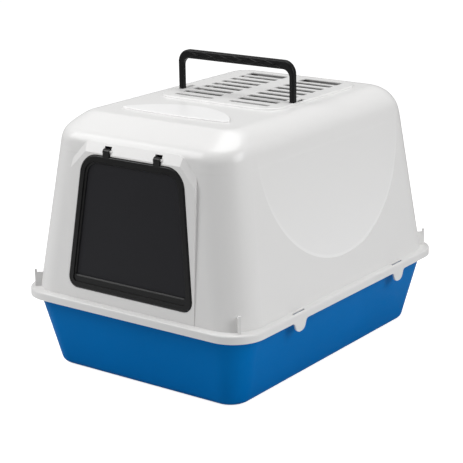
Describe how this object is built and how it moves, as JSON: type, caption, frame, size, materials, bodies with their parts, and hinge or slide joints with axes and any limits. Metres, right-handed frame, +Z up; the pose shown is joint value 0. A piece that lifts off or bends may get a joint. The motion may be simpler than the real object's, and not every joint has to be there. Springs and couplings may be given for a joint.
{
  "type": "covered cat litter box",
  "caption": "Covered cat litter box: open tray, lift-off hood with a hinged swing door, a vented roof with a filter and a folding carrying handle.",
  "frame": {"origin": "centre of the base, on the floor", "axes": "+Z up, +Y from the door to the back wall, +X to the right for someone facing the back from the door"},
  "size_m": [0.4192, 0.55, 0.4517],
  "materials": {
    "tray_plastic": "satin moulded polypropylene, blue",
    "hood_plastic": "satin moulded polypropylene, off-white",
    "black_plastic": "satin moulded polypropylene, black",
    "door_panel_plastic": "fine-grained, near black",
    "filter_foam": "open-cell carbon foam"
  },
  "bodies": {
    "tray": {"base_tray": "tray_plastic"},
    "hood": {"hood_shell": "hood_plastic", "carbon_filter": "filter_foam"},
    "door": {"door_frame": "black_plastic", "door_panel": "door_panel_plastic"},
    "handle": {"carry_handle": "black_plastic"},
    "cover": {"filter_cover": "hood_plastic"}
  },
  "joints": [
    {"name": "hood_lift", "type": "slide", "parent": "tray", "child": "hood", "axis": [0, 0, 1], "range_m": [0, 0.35]},
    {"name": "door_swing", "type": "hinge", "parent": "hood", "child": "door", "pos_m": [0, -0.2438, 0.3456], "axis": [1, 0, 0], "range_deg": [-75, 75]},
    {"name": "handle_fold", "type": "hinge", "parent": "hood", "child": "handle", "pos_m": [0, 0.005, 0.3826], "axis": [-1, 0, 0], "range_deg": [0, 65]},
    {"name": "filter_cover_open", "type": "hinge", "parent": "hood", "child": "cover", "pos_m": [0, -0.043, 0.3735], "axis": [-1, 0, 0], "range_deg": [0, 80]}
  ]
}
